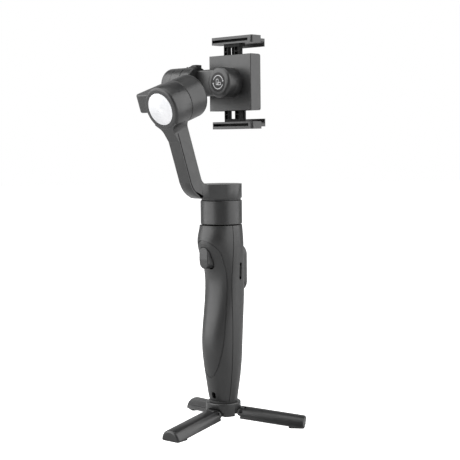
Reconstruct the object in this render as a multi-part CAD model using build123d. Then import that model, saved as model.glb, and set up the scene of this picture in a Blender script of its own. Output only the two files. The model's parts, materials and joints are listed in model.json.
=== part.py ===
from build123d import *
import os
from math import acos, atan2, cos, degrees, hypot, pi, radians, sin

# Handheld three-axis phone stabilizer standing on its folding table tripod, in millimetres.
# It is modelled about the vertical handle axis, with the floor at height 0, +Y towards the
# trigger and the roll motor, -Y towards the thumb controls and the phone, and +X towards the
# tilt motor. export_parts() then moves every piece by FRAME_SHIFT, so that the origin is the
# centre of the bounding box at the floor.
FRAME_SHIFT = (-2.78, -13.81)

RUNNING_GAP = 0.06      # radial clearance of every turning fit
FREE_GAP = 0.3          # gap between neighbours that only pass each other

# Heights up the handle axis
HUB_LOW, HUB_HIGH = 10.2, 22.4
GRIP_LOW, GRIP_HIGH = 23.8, 184.0
PAN_HOUSING_LOW, PAN_HOUSING_HIGH = 184.8, 206.2
PAN_CAP_LOW, PAN_CAP_HIGH = 208.4, 221.0
AXES_HEIGHT = 312.0     # the pan, roll and tilt axes meet here

# Grip: height, half width, depth in front of the axis, depth behind it
GRIP_STATIONS = [
    (GRIP_LOW, 12.8, 12.3, 13.2),
    (35.0, 14.4, 14.9, 14.6),
    (57.0, 16.7, 18.6, 17.6),
    (80.0, 17.7, 20.3, 18.9),
    (102.0, 17.9, 16.8, 20.7),
    (124.0, 17.8, 13.2, 22.3),
    (144.0, 18.4, 14.4, 21.6),
    (163.0, 19.5, 23.0, 20.3),
    (174.0, 19.6, 23.5, 19.4),
    (GRIP_HIGH, 18.8, 20.8, 18.6),
]
GRIP_WALL = 2.0
SEAM_Y = 4.6            # the two grip shells part here
SEAM_GAP = 0.5

# Telescopic pole nested in the grip
POLE_WALL = 0.9
SLIDING_GAP = 0.08      # radial clearance between neighbouring stages
POLE_OUTER = [10.2 - level * (POLE_WALL + SLIDING_GAP) for level in range(4)]   # sleeve first
POLE_LOW = 104.0

# Motors
PAN_RADIUS, ROLL_RADIUS, TILT_RADIUS = 18.8, 19.2, 15.0
MOTOR_WALL = 1.8
SHAFT_RADIUS = 2.0
BEARING_RADIUS = 3.3
POST_RADIUS = 4.4

# Arms. The roll axis leaves the meeting point forwards and down at ROLL_SLOPE.
ROLL_SLOPE = radians(19.0)
ROLL_HOUSING_NEAR, ROLL_HOUSING_FAR = 57.7, 77.2
ROLL_ROTOR_NEAR, ROLL_ROTOR_FAR = 35.5, 57.2
DISC_RADIUS = 14.0      # bright disc in the face of the roll motor
PAN_ARM_FRONT = 72.0
ARM_HALF_WIDTH = 6.6
ROLL_BAR_DOWN, ROLL_BAR_UP = -9.2, 8.0
ROLL_BAR_NEAR, ROLL_BAR_FAR = 43.7, 57.0
ROLL_BAR_SIDE = 52.6
TILT_ROTOR_LOW, TILT_ROTOR_HIGH = 27.0, 38.5
TILT_DRUM_LOW, TILT_DRUM_HIGH = 39.0, 50.0
TILT_CAP_LOW, TILT_CAP_HIGH = 50.3, 64.0
TILT_CAP_FLOOR = 61.5
BOSS_RADIUS, BOSS_FRONT, BOSS_BACK = 13.8, 2.5, -8.0

# Phone clamp, open for a phone 71.4 high and 8.1 thick
CLAMP_LEFT, CLAMP_RIGHT = -23.5, 28.5
CLAMP_HALF_HEIGHT = 25.2
CLAMP_FRONT, CLAMP_SPLIT, CLAMP_BACK, PAD_BACK = -15.3, -26.4, -28.4, -29.7
PHONE_HALF_HEIGHT = 35.7
PINION_PITCH_RADIUS, PINION_TEETH = 3.5, 14
TOOTH_PITCH = 2 * pi * PINION_PITCH_RADIUS / PINION_TEETH
RACK_BACK, RACK_FRONT = -26.0, -23.6
RACK_TEETH_TOP = 14.0   # how far above the pinion's axis the rack's teeth run

# Folding tripod
LEG_ANGLES = [95.4, 215.4, 335.4]
LEG_PIVOT_RADIUS, LEG_PIVOT_HEIGHT = 17.0, 14.0
LEG_SLOPE = radians(7.6)
LEG_TIP = 75.6
HUB_RADIUS = 15.9
LUG_HALF_WIDTH, LUG_RADIUS = 4.0, 2.9       # the hub's lug between the two cheeks of each leg
PIN_RADIUS = 1.5
LEG_UNDERSIDE = 6.05    # from the pivot down to the flat underside of the leg
LEG_THICKNESS, LEG_HALF_WIDTH = 9.7, 10.0
PAD_START = 60.5
STUD_RADIUS = 3.175     # quarter-inch camera thread

LOW_CORNER = (Align.MIN, Align.MIN, Align.MIN)
STANDING = (Align.CENTER, Align.CENTER, Align.MIN)

MEETING_POINT = Vector(0, 0, AXES_HEIGHT)
ROLL_DIRECTION = Vector(0, cos(ROLL_SLOPE), -sin(ROLL_SLOPE))
# Frames with their z along each axis. In the roll frame x is -X and y is up along the arm.
ROLL_FRAME = Plane(MEETING_POINT, x_dir=(-1, 0, 0), z_dir=ROLL_DIRECTION)
TILT_FRAME = Plane(MEETING_POINT, x_dir=(0, 1, 0), z_dir=(1, 0, 0))
SWIVEL_FRAME = Plane(MEETING_POINT, x_dir=(-1, 0, 0), z_dir=(0, 1, 0))
UPRIGHT = Plane.XY


def rod(radius, low, high, frame=UPRIGHT, x=0, y=0):
    """Solid cylinder along the frame's z between two heights."""
    return frame * Pos(x, y, low) * Cylinder(radius, high - low, align=STANDING)


def tube(outer, inner, low, high, frame=UPRIGHT, x=0, y=0):
    return rod(outer, low, high, frame, x, y) - rod(inner, low, high, frame, x, y)


def block(x_range, y_range, z_range, frame=UPRIGHT):
    corner = Pos(x_range[0], y_range[0], z_range[0])
    sizes = [high - low for low, high in (x_range, y_range, z_range)]
    return frame * corner * Box(*sizes, align=LOW_CORNER)


def drum(radius, low, high, frame, low_round=0.0, high_round=0.0):
    """Cylinder with rounded end edges."""
    solid = Pos(0, 0, low) * Cylinder(radius, high - low, align=STANDING)
    for position, rounding in ((0, low_round), (-1, high_round)):
        if rounding:
            rim = solid.edges().filter_by(GeomType.CIRCLE).sort_by(Axis.Z)[position]
            solid = fillet(rim, rounding)
    return frame * solid


def slot_prism(half_width, low, high, depth_range, frame):
    """Oblong with round ends, long along the frame's y, extruded along its z."""
    outline = Pos(0, (low + high) / 2) * Rot(0, 0, 90) * SlotOverall(high - low, 2 * half_width)
    return frame * Pos(0, 0, depth_range[0]) * extrude(outline, depth_range[1] - depth_range[0])


# ---------------------------------------------------------------- motors

def bearing_post(frame, floor, length):
    """Tube standing on a motor's floor, which holds its bearings."""
    return tube(POST_RADIUS, BEARING_RADIUS, floor, floor + length, frame)


def motor_pieces(frame, cavity_radius, reach):
    """Stator, bearings, shaft and magnet ring; z = 0 is the floor, z = reach the rotor face."""
    ring_outer = cavity_radius - 0.7
    ring_inner = ring_outer - 2.4
    stator_outer = ring_inner - FREE_GAP
    stator = tube(stator_outer, POST_RADIUS, 2.0, 11.0)
    slot = block((POST_RADIUS + 1.6, stator_outer - 1.4), (-0.9, 0.9), (2.0, 11.0))
    mouth = block((stator_outer - 1.5, stator_outer + 1), (-0.4, 0.4), (2.0, 11.0))
    for place in PolarLocations(0, 9):
        stator -= place * (slot + mouth)
    bearings = Compound(
        [tube(BEARING_RADIUS, SHAFT_RADIUS + 0.02, low, low + 2.4) for low in (1.0, 9.6)]
    )
    shaft = rod(SHAFT_RADIUS, 0.6, reach + 4.0)
    magnet_ring = tube(ring_outer, ring_inner, 2.6, reach)
    pieces = (stator, bearings, shaft, magnet_ring)
    return [frame * piece for piece in pieces]


def shaft_socket(frame, reach):
    """The blind hole in a rotor that the motor shaft is pressed into."""
    return rod(SHAFT_RADIUS, reach, reach + 4.0, frame)


PAN_FLOOR = PAN_HOUSING_LOW + 2.5
PAN_MOTOR_FRAME = Plane.XY.offset(PAN_FLOOR)
PAN_REACH = PAN_CAP_LOW - PAN_FLOOR
ROLL_FLOOR = 73.2
ROLL_MOTOR_FRAME = Plane(
    MEETING_POINT + ROLL_DIRECTION * ROLL_FLOOR, x_dir=(1, 0, 0), z_dir=-ROLL_DIRECTION
)
ROLL_REACH = ROLL_FLOOR - ROLL_ROTOR_FAR
TILT_MOTOR_FRAME = Plane(
    MEETING_POINT + Vector(TILT_CAP_FLOOR, 0, 0), x_dir=(0, -1, 0), z_dir=(-1, 0, 0)
)
TILT_REACH = TILT_CAP_FLOOR - TILT_ROTOR_HIGH
PAN_CAVITY = PAN_RADIUS - MOTOR_WALL
ROLL_CAVITY = ROLL_RADIUS - MOTOR_WALL
TILT_CAVITY = TILT_RADIUS - MOTOR_WALL


# ---------------------------------------------------------------- handle

def grip_form(inset=0.0):
    """The grip's outer form, or the same form pulled in by a wall thickness."""
    sections = []
    for height, half_width, front, rear in GRIP_STATIONS:
        x_radius = half_width - inset
        front_half = EllipticalCenterArc((0, 0), x_radius, front - inset, 0, arc_size=180)
        rear_half = EllipticalCenterArc((0, 0), x_radius, rear - inset, 180, arc_size=180)
        sections.append(Plane.XY.offset(height) * make_face([front_half, rear_half]))
    return loft(sections)


FACING_BACK = Plane((0, 0, 0), x_dir=(1, 0, 0), z_dir=(0, -1, 0))
FACING_FRONT = Plane((0, 0, 0), x_dir=(-1, 0, 0), z_dir=(0, 1, 0))

PANEL_HALF_WIDTH, PANEL_LOW, PANEL_HIGH = 9.5, 121.6, 165.0
PANEL_BACK, PANEL_FACE = 16.9, 24.3         # distances behind the handle axis
JOYSTICK_HEIGHT, JOYSTICK_DEPTH = 152.5, 21.2
TRUNNION_RADIUS = 0.6
STICK_SIDE_AXIS = Plane((0, -JOYSTICK_DEPTH, JOYSTICK_HEIGHT), x_dir=(0, 1, 0), z_dir=(1, 0, 0))
RECORD_HEIGHT, MODE_HEIGHT = 138.4, 129.2
RECORD_RADIUS, MODE_RADIUS = 3.7, 2.5

SLIDER_Y, SLIDER_HEIGHT = -6.0, 142.4
SLIDER_SLOT_HALF = 7.9
USB_Y, USB_HEIGHT = -6.5, 149.0

TRIGGER_HALF_WIDTH = 5.4
TRIGGER_PIVOT_Y, TRIGGER_PIVOT_Z = 16.0, 160.2
TRIGGER_LOW, TRIGGER_HIGH = 145.4, 165.0
TRIGGER_HINGE = Plane((0, TRIGGER_PIVOT_Y, TRIGGER_PIVOT_Z), x_dir=(0, 1, 0), z_dir=(1, 0, 0))

BOARD_FRONT, BOARD_BACK = 14.9, 16.3
PAD_RING_HALF_WIDTH = 14.4                  # outline of the finger hold on the front shell


def finger_hold_groove(outer):
    """Shallow groove that outlines the finger hold, half a millimetre deep."""
    def outline(inset):
        half = PAD_RING_HALF_WIDTH - inset
        top_arc = CenterArc((0, 157.0), half, 0, 180)
        low_arc = EllipticalCenterArc((0, 90.0), half, 44.0 - inset, 180, arc_size=180)
        sides = [Line((x, 157.0), (x, 90.0)) for x in (-half, half)]
        return make_face([top_arc, low_arc] + sides)
    band = extrude(FACING_FRONT * (outline(0) - outline(0.8)), 30)
    skin = outer - grip_form(0.5)
    return band & skin


def grip_shells():
    outer = grip_form()
    hollow = grip_form(GRIP_WALL) & block((-40, 40), (-40, 40), (0, GRIP_HIGH - GRIP_WALL))
    shell = outer - hollow - rod(POLE_OUTER[0], 150, 190)
    front = shell & block((-40, 40), (SEAM_Y + SEAM_GAP / 2, 40), (0, 200))
    rear = shell & block((-40, 40), (-40, SEAM_Y - SEAM_GAP / 2), (0, 200))

    half = TRIGGER_HALF_WIDTH + 0.5
    trigger_hole = slot_prism(
        half, TRIGGER_LOW - 1.0, TRIGGER_HIGH + 0.4, (POLE_OUTER[0] + 1, 30), FACING_FRONT
    )
    lanyard_hole = Pos(-1.4, 0, 0) * slot_prism(2.0, 26.4, 32.6, (7, 20), FACING_FRONT)
    front -= trigger_hole + lanyard_hole + finger_hold_groove(outer)
    for side in (-1, 1):
        x_range = sorted((side * (half + 0.1), side * 10.6))
        lug = block(x_range, (TRIGGER_PIVOT_Y - 2.2, TRIGGER_PIVOT_Y + 2.4), (157.6, 163.0))
        front += lug & outer
    front -= rod(1.0, -10, 10, TRIGGER_HINGE)

    rear -= slot_prism(
        PANEL_HALF_WIDTH + 0.08, PANEL_LOW - 0.08, PANEL_HIGH + 0.08, (10, 30), FACING_BACK
    )
    slider_slot = Plane((0, SLIDER_Y, SLIDER_HEIGHT), x_dir=(0, -1, 0), z_dir=(-1, 0, 0))
    rear -= slot_prism(1.75, -SLIDER_SLOT_HALF, SLIDER_SLOT_HALF, (10, 25), slider_slot)
    rear -= block((12, 25), (USB_Y - 1.7, USB_Y + 1.7), (USB_HEIGHT - 4.6, USB_HEIGHT + 4.6))
    return front, rear


def control_panel():
    depth = (PANEL_BACK, PANEL_FACE)
    panel = slot_prism(PANEL_HALF_WIDTH, PANEL_LOW, PANEL_HIGH, depth, FACING_BACK)
    face_rim = panel.faces().sort_by(Axis.Y)[0].edges()
    panel = fillet(face_rim, 1.8)
    inside = (PANEL_BACK, PANEL_FACE - 4.0)
    panel -= slot_prism(7.7, PANEL_LOW + 1.8, PANEL_HIGH - 1.8, inside, FACING_BACK)
    stick = Plane((0, 0, JOYSTICK_HEIGHT), x_dir=(1, 0, 0), z_dir=(0, -1, 0))
    panel += tube(4.9, 3.7, PANEL_BACK, PANEL_FACE - 1.5, stick)
    panel -= rod(TRUNNION_RADIUS + RUNNING_GAP, -4.8, 4.8, STICK_SIDE_AXIS)
    panel -= rod(3.7, PANEL_BACK, PANEL_FACE + 1, stick)
    panel -= rod(6.4, PANEL_FACE - 1.2, PANEL_FACE + 1, stick)
    for height, radius in ((RECORD_HEIGHT, RECORD_RADIUS), (MODE_HEIGHT, MODE_RADIUS)):
        panel -= rod(radius + 0.1, PANEL_BACK, PANEL_FACE + 1, FACING_BACK, 0, height)
    return panel


def control_board():
    """Board behind the control panel, with its switches and the charging socket beside it."""
    board = block((-8.6, 8.6), (-BOARD_BACK, -BOARD_FRONT), (120, 167))
    board &= grip_form(GRIP_WALL + 0.1)
    for height, radius in ((RECORD_HEIGHT, 2.4), (MODE_HEIGHT, 1.8)):
        board += rod(radius, BOARD_FRONT, 18.4, FACING_BACK, 0, height)
    board += rod(3.0, BOARD_FRONT, 17.2, FACING_BACK, 0, JOYSTICK_HEIGHT)
    board += block((-4, 4), (-BOARD_FRONT, -BOARD_FRONT + 1.2), (126, 134))
    board += block((-3, 3), (-BOARD_FRONT, -BOARD_FRONT + 1.0), (146, 152))
    board += block((6.5, 9.9), (-BOARD_FRONT, -12.4), (USB_HEIGHT - 1.5, USB_HEIGHT + 1.5))
    board += block((9.6, 11.2), (-13.4, USB_Y + 1.6), (USB_HEIGHT - 4.5, USB_HEIGHT + 4.5))
    return board + usb_socket()


def joystick_ring():
    """Gimbal ring round the joystick's ball, tilting up and down on two trunnions."""
    centre = Pos(0, -JOYSTICK_DEPTH, JOYSTICK_HEIGHT)
    slab = (-JOYSTICK_DEPTH - 1.4, -JOYSTICK_DEPTH + 1.4)
    body = Sphere(3.6) + rod(TRUNNION_RADIUS, -4.6, 4.6, Plane.YZ)
    ring = centre * (body - Sphere(2.46) - rod(TRUNNION_RADIUS + RUNNING_GAP, -4, 4))
    return ring & block((-5, 5), slab, (JOYSTICK_HEIGHT - 5, JOYSTICK_HEIGHT + 5))


def joystick_cap():
    """Dished cap on a stem, whose ball turns left and right on trunnions in the ring."""
    stick = Plane((0, 0, JOYSTICK_HEIGHT), x_dir=(1, 0, 0), z_dir=(0, -1, 0))
    cap = drum(5.2, JOYSTICK_DEPTH + 4.6, JOYSTICK_DEPTH + 6.8, stick, 0.4, 1.0)
    cap -= stick * Pos(0, 0, JOYSTICK_DEPTH + 13.6) * Sphere(7.8)
    ball = Sphere(2.4) + rod(TRUNNION_RADIUS, -3.3, 3.3)
    ball = Pos(0, -JOYSTICK_DEPTH, JOYSTICK_HEIGHT) * ball
    return ball + rod(1.3, JOYSTICK_DEPTH, JOYSTICK_DEPTH + 5.0, stick) + cap


def push_button(radius, height):
    key = Plane((0, 0, height), x_dir=(1, 0, 0), z_dir=(0, -1, 0))
    return drum(radius, 19.0, PANEL_FACE + 0.8, key, 0, 0.6)


def zoom_slider():
    """Ribbed thumb piece in its slot, on a plate that runs behind the grip's wall."""
    slot = Plane((0, SLIDER_Y, SLIDER_HEIGHT), x_dir=(0, -1, 0), z_dir=(-1, 0, 0))
    thumb = slot_prism(1.3, -5.0, 5.0, (13.4, 17.0), slot)
    for step in range(-2, 3):
        height = SLIDER_HEIGHT + step * 1.4
        thumb -= block((-18, -16.5), (SLIDER_Y - 3, SLIDER_Y + 3), (height - 0.25, height + 0.25))
    plate_y = (SLIDER_Y - 2.6, SLIDER_Y + 2.6)
    return thumb + block((-13.5, -12.6), plate_y, (SLIDER_HEIGHT - 6.5, SLIDER_HEIGHT + 6.5))


def usb_socket():
    shell = block((11.2, 17.1), (USB_Y - 1.6, USB_Y + 1.6), (USB_HEIGHT - 4.5, USB_HEIGHT + 4.5))
    hollow = block((12.2, 18), (USB_Y - 1.2, USB_Y + 1.2), (USB_HEIGHT - 4.1, USB_HEIGHT + 4.1))
    tongue = block((12.1, 16.2), (USB_Y - 0.35, USB_Y + 0.35), (USB_HEIGHT - 3.2, USB_HEIGHT + 3.2))
    return shell - hollow + tongue


def trigger():
    """Finger key hinged near its top; its front leans back and turns in at the bottom."""
    front = FilletPolyline((23.6, 168), (24.0, 154), (23.0, 144.6), (14, 144.6), radius=(20, 3))
    inside = Polyline((14, 144.6), (14, 168), (23.6, 168))
    side = Plane.YZ * make_face(front.edges() + inside.edges())
    body = Pos(-TRIGGER_HALF_WIDTH - 1, 0, 0) * extrude(side, 2 * TRIGGER_HALF_WIDTH + 2)
    key_outline = (TRIGGER_LOW, TRIGGER_HIGH, (14.4, 30), FACING_FRONT)
    body &= slot_prism(TRIGGER_HALF_WIDTH, *key_outline)
    body = fillet([edge for edge in body.edges() if edge.center().Y > 19.6], 1.0)
    return body - rod(1.0 + RUNNING_GAP, -10, 10, TRIGGER_HINGE)


def trigger_pin():
    return rod(1.0, -9.2, 9.2, TRIGGER_HINGE)


def base_cap():
    plate = grip_form(GRIP_WALL + 0.1) & block((-20, 20), (-20, 20), (0, 26.8))
    return plate + rod(7.2, GRIP_LOW + 1, 34.2) - rod(5.0, 0, 40)


def pole_tube(level):
    """Guide sleeve (level 0) or one stage of the telescopic pole."""
    outer = POLE_OUTER[level]
    low = POLE_LOW + 1.2 * level
    high = (GRIP_HIGH, GRIP_HIGH + 0.2, GRIP_HIGH + 0.4, PAN_HOUSING_LOW)[level]
    return tube(outer, outer - POLE_WALL, low, high)


# ---------------------------------------------------------------- pan motor and arm

def pan_motor_housing():
    cup = drum(PAN_RADIUS, PAN_HOUSING_LOW, PAN_HOUSING_HIGH, UPRIGHT, 0.7, 0.5)
    cup -= rod(PAN_CAVITY, PAN_FLOOR, PAN_HOUSING_HIGH + 1)
    return cup + bearing_post(UPRIGHT, PAN_FLOOR, 12.6)


def arm_point(along, up):
    """A point of the arm's plane, from distances along the roll axis and up across it."""
    y = along * cos(ROLL_SLOPE) + up * sin(ROLL_SLOPE)
    z = AXES_HEIGHT - along * sin(ROLL_SLOPE) + up * cos(ROLL_SLOPE)
    return (y, z)


def arm_meets_height(along, height):
    """Where the arm's line at this distance along the roll axis comes down to a height."""
    up = (height - AXES_HEIGHT + along * sin(ROLL_SLOPE)) / cos(ROLL_SLOPE)
    return arm_point(along, up)


def arm_profile(inset=0.0):
    """Side outline of the pan arm; inset pulls in its outer line and its underside."""
    front, floor = PAN_ARM_FRONT - inset, PAN_CAP_LOW + inset
    inner = FilletPolyline(
        arm_point(ROLL_HOUSING_NEAR, -8),
        arm_meets_height(ROLL_HOUSING_NEAR, PAN_CAP_HIGH),
        (-PAN_RADIUS, PAN_CAP_HIGH),
        radius=9,
    )
    outer = FilletPolyline(
        (-PAN_RADIUS, floor),
        arm_meets_height(front, floor),
        arm_point(front, -8),
        radius=22 - inset,
    )
    closing = [Line(inner @ 1, outer @ 0), Line(outer @ 1, inner @ 0)]
    return make_face(inner.edges() + outer.edges() + closing)


def arm_plan():
    """Plan outline of the pan arm: round cap, then tangent sides down to the arm's width."""
    waist = (ARM_HALF_WIDTH, 27.0)
    touch = atan2(waist[1], waist[0]) - acos(PAN_RADIUS / hypot(*waist))
    tangent = (PAN_RADIUS * cos(touch), PAN_RADIUS * sin(touch))
    right = [tangent, waist, (ARM_HALF_WIDTH, 90)]
    left = [(-x, y) for x, y in reversed(right)]
    sides = make_face(Polyline(*right, *left, close=True))
    corners = [v for v in sides.vertices() if abs(v.Y - waist[1]) < 0.1]
    return fillet(corners, 14) + Circle(PAN_RADIUS)


def neck_outline():
    """Round motor face with the arm leaving it through hollow shoulders."""
    stem = Pos(0, -25) * Rectangle(2 * ARM_HALF_WIDTH, 50)
    face = Circle(ROLL_RADIUS) + stem
    shoulders = [v for v in face.vertices() if abs(abs(v.X) - ARM_HALF_WIDTH) < 0.1 and v.Y > -25]
    return fillet(shoulders, 8)


def pan_arm_and_cover():
    side = extrude(Plane.YZ * arm_profile(), 30, both=True)
    arm = side & extrude(arm_plan(), AXES_HEIGHT + 20)
    neck_depth = PAN_ARM_FRONT - ROLL_HOUSING_NEAR
    arm += ROLL_FRAME * Pos(0, 0, ROLL_HOUSING_NEAR) * extrude(neck_outline(), neck_depth)
    brow = make_face(Polyline(
        arm_point(70, -10), arm_point(76.6, -10), arm_point(76.6, -16.5),
        arm_point(PAN_ARM_FRONT, -31), arm_point(70, -31), close=True,
    ))
    shoulders = ROLL_FRAME * Pos(0, 0, 60) * extrude(neck_outline(), 20)
    arm += extrude(Plane.YZ * brow, ARM_HALF_WIDTH + 6, both=True) & shoulders

    def skin(thickness):
        band = extrude(Plane.YZ * (arm_profile() - arm_profile(thickness)), 30, both=True)
        below_neck = block((-30, 30), (-110, -31.3), (60, 80), ROLL_FRAME)
        clear_of_cap = block((-30, 30), (PAN_RADIUS + 1.2, 60), (200, AXES_HEIGHT))
        return band & below_neck & clear_of_cap
    cover = arm & skin(1.3)
    arm -= skin(1.7)
    arm += drum(ROLL_RADIUS, ROLL_HOUSING_NEAR, ROLL_HOUSING_FAR, ROLL_FRAME, 0, 2.6)
    arm -= rod(ROLL_CAVITY, ROLL_HOUSING_NEAR - 1, ROLL_FLOOR, ROLL_FRAME)
    arm -= rod(DISC_RADIUS + 0.2, 76.1, 80, ROLL_FRAME)
    arm += tube(PAN_RADIUS - 1.0, PAN_RADIUS - 2.4, PAN_HOUSING_HIGH + 0.4, PAN_CAP_LOW)
    arm += bearing_post(ROLL_MOTOR_FRAME, 0, 12.6)
    arm -= shaft_socket(PAN_MOTOR_FRAME, PAN_REACH)
    return arm, cover


def roll_motor_disc():
    """Bright disc in the face of the roll motor, slightly domed."""
    disc = drum(DISC_RADIUS, 76.1, 78.2, ROLL_FRAME, 0, 0.5)
    dome_radius = 120.0
    dome = ROLL_FRAME * Pos(0, 0, 78.2 - dome_radius) * Sphere(dome_radius)
    return disc & dome


# ---------------------------------------------------------------- roll arm and tilt motor

def roll_arm():
    """Roll rotor, the bent bar beside it and the open drum round the tilt motor."""
    rotor = drum(ROLL_RADIUS, ROLL_ROTOR_NEAR, ROLL_ROTOR_FAR, ROLL_FRAME, 5.0, 0.5)
    # Plan of the bent bar: x to the tilt side, y along the roll axis
    outline = make_face(FilletPolyline(
        (0, ROLL_BAR_NEAR), (TILT_DRUM_LOW, ROLL_BAR_NEAR), (TILT_DRUM_LOW, 8),
        (TILT_DRUM_HIGH, 8), (TILT_DRUM_HIGH, 17), (ROLL_BAR_SIDE, 20),
        (ROLL_BAR_SIDE, ROLL_BAR_FAR), (0, ROLL_BAR_FAR),
        radius=(0, 5, 0, 0, 4, 4, 5, 0), close=True,
    ))
    bar_frame = Plane(MEETING_POINT, x_dir=(1, 0, 0), z_dir=ROLL_DIRECTION.cross(Vector(-1, 0, 0)))
    bar = extrude(outline, ROLL_BAR_UP - ROLL_BAR_DOWN)
    outer_edges = [
        edge for edge in bar.edges()
        if edge.center().Y > 17 and edge.center().X > ROLL_BAR_SIDE - 6
        and edge.length > 3 and abs(edge.tangent_at(0).Z) < 0.1
    ]
    bar = bar_frame * Pos(0, 0, ROLL_BAR_DOWN) * fillet(outer_edges, 1.5)
    arm = rotor + bar + rod(TILT_RADIUS, TILT_DRUM_LOW, TILT_DRUM_HIGH, TILT_FRAME)
    arm -= rod(TILT_CAVITY, TILT_DRUM_LOW - 1, TILT_DRUM_HIGH + 1, TILT_FRAME)
    arm += rod(0.9, 14.2, 15.6, Plane((41.4, 0, AXES_HEIGHT), z_dir=(0, 0, 1)))
    return arm - shaft_socket(ROLL_MOTOR_FRAME, ROLL_REACH)


def tilt_end_cap():
    cap = drum(TILT_RADIUS, TILT_CAP_LOW, TILT_CAP_HIGH, TILT_FRAME, 0, 4.8)
    cap -= rod(TILT_CAVITY, TILT_CAP_LOW - 1, TILT_CAP_FLOOR, TILT_FRAME)
    return cap + bearing_post(TILT_MOTOR_FRAME, 0, 12.6)


def tilt_arm():
    half = 12.0
    boss = drum(BOSS_RADIUS, BOSS_BACK, BOSS_FRONT, SWIVEL_FRAME, 0.4, 3.0)
    bar = block((0, TILT_ROTOR_LOW + 4), (BOSS_BACK + 0.8, BOSS_FRONT - 0.3),
                (AXES_HEIGHT - half, AXES_HEIGHT + half))
    bar = fillet(bar.edges().filter_by(Axis.X), 2.2)
    arm = boss + bar + drum(TILT_RADIUS, TILT_ROTOR_LOW, TILT_ROTOR_HIGH, TILT_FRAME, 1.2, 0.4)
    arm -= rod(3.0 + RUNNING_GAP, BOSS_BACK - 1, BOSS_FRONT, SWIVEL_FRAME)
    arm -= rod(5.3, -1.5, BOSS_FRONT + 1, SWIVEL_FRAME)
    arm -= rod(8.7, 1.3, BOSS_FRONT + 1, SWIVEL_FRAME)
    return arm - shaft_socket(TILT_MOTOR_FRAME, TILT_REACH)


def travel_stop():
    """Rubber stop on top of the tilt rotor that limits the swing of the arm."""
    low, high = TILT_ROTOR_LOW + 1, TILT_ROTOR_HIGH - 0.4
    side = Polyline((low, 323), (low, 329.0), (high - 5.5, 329.0), (high, 327.2), (high, 323),
                    close=True)
    stop = extrude(Plane.XZ * make_face(side), 3.5, both=True)
    return Pos(0, -1.5, 0) * stop - rod(TILT_RADIUS, 0, 60, TILT_FRAME)


# ---------------------------------------------------------------- phone clamp

def clamp_frame():
    z_low, z_high = AXES_HEIGHT - CLAMP_HALF_HEIGHT, AXES_HEIGHT + CLAMP_HALF_HEIGHT
    body = block((CLAMP_LEFT, CLAMP_RIGHT), (CLAMP_SPLIT, CLAMP_FRONT), (z_low, z_high))
    body = fillet(body.faces().sort_by(Axis.Y)[-1].edges(), 0.8)
    body -= block((CLAMP_LEFT + 2, CLAMP_RIGHT - 2), (CLAMP_SPLIT - 1, CLAMP_FRONT - 2.5),
                  (z_low + 2, z_high - 2))
    window_y = (CLAMP_SPLIT - 1, -18.0)
    body -= block((-8.0, 12.7), window_y, (z_low - 1, z_high + 1))
    body += drum(13.4, BOSS_BACK - FREE_GAP - 7.5, BOSS_BACK - FREE_GAP, SWIVEL_FRAME, 0, 0.5)
    body += rod(1.2, CLAMP_SPLIT, CLAMP_FRONT - 2, SWIVEL_FRAME)
    return body - rod(3.0, -17.0, 0, SWIVEL_FRAME)


def swivel_pin():
    """Headed pin that the clamp turns on, pressed into the clamp's boss."""
    return rod(3.0, -17.0, -1.4, SWIVEL_FRAME) + drum(5.1, -1.4, 0.6, SWIVEL_FRAME, 0, 0.4)


def clamp_back_plate():
    z_range = (AXES_HEIGHT - CLAMP_HALF_HEIGHT, AXES_HEIGHT + CLAMP_HALF_HEIGHT)
    plate = block((CLAMP_LEFT, CLAMP_RIGHT), (CLAMP_BACK, CLAMP_SPLIT), z_range)
    return fillet(plate.edges().filter_by(Axis.Y), 2.0)


def clamp_back_pad():
    pad = block((-17, 22), (PAD_BACK, CLAMP_BACK), (AXES_HEIGHT - 20, AXES_HEIGHT + 20))
    return fillet(pad.edges().filter_by(Axis.Y), 3.0)


def rack(low, high):
    """Toothed bar beside the pinion, teeth towards -X, one tooth space level with the pinion."""
    root = PINION_PITCH_RADIUS + 0.75
    tip = PINION_PITCH_RADIUS - 0.38
    bar = block((root, 7.5), (RACK_BACK, RACK_FRONT), (low, high))
    half_root, half_tip = 0.27 * TOOTH_PITCH, 0.11 * TOOTH_PITCH
    first = int((low - AXES_HEIGHT) / TOOTH_PITCH) + 1
    last = int(RACK_TEETH_TOP / TOOTH_PITCH)
    teeth = []
    for number in range(first, last):
        centre = AXES_HEIGHT + (number + 0.5) * TOOTH_PITCH
        outline = Polyline(
            (root + 0.1, centre - half_root), (tip, centre - half_tip),
            (tip, centre + half_tip), (root + 0.1, centre + half_root), close=True,
        )
        teeth.append(extrude(Plane.XZ.offset(-RACK_FRONT) * make_face(outline),
                             RACK_FRONT - RACK_BACK))
    return bar + teeth


def pinion():
    root = PINION_PITCH_RADIUS - 0.75
    tip = PINION_PITCH_RADIUS + 0.38
    wheel = Circle(root)
    half_root, half_tip = 0.25 * TOOTH_PITCH, 0.11 * TOOTH_PITCH
    tooth = make_face(Polyline(
        (root - 0.4, -half_root), (tip, -half_tip), (tip, half_tip), (root - 0.4, half_root),
        close=True,
    ))
    for place in PolarLocations(0, PINION_TEETH):
        wheel += place * tooth
    wheel -= Circle(1.2 + RUNNING_GAP)
    return SWIVEL_FRAME * Pos(0, 0, RACK_BACK) * extrude(wheel, RACK_FRONT - RACK_BACK)


JAW_UNDERSIDE = AXES_HEIGHT + PHONE_HALF_HEIGHT - 0.5
JAW_TOP = JAW_UNDERSIDE + 6.6
SLIDE_LOW = AXES_HEIGHT + 8.5


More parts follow.
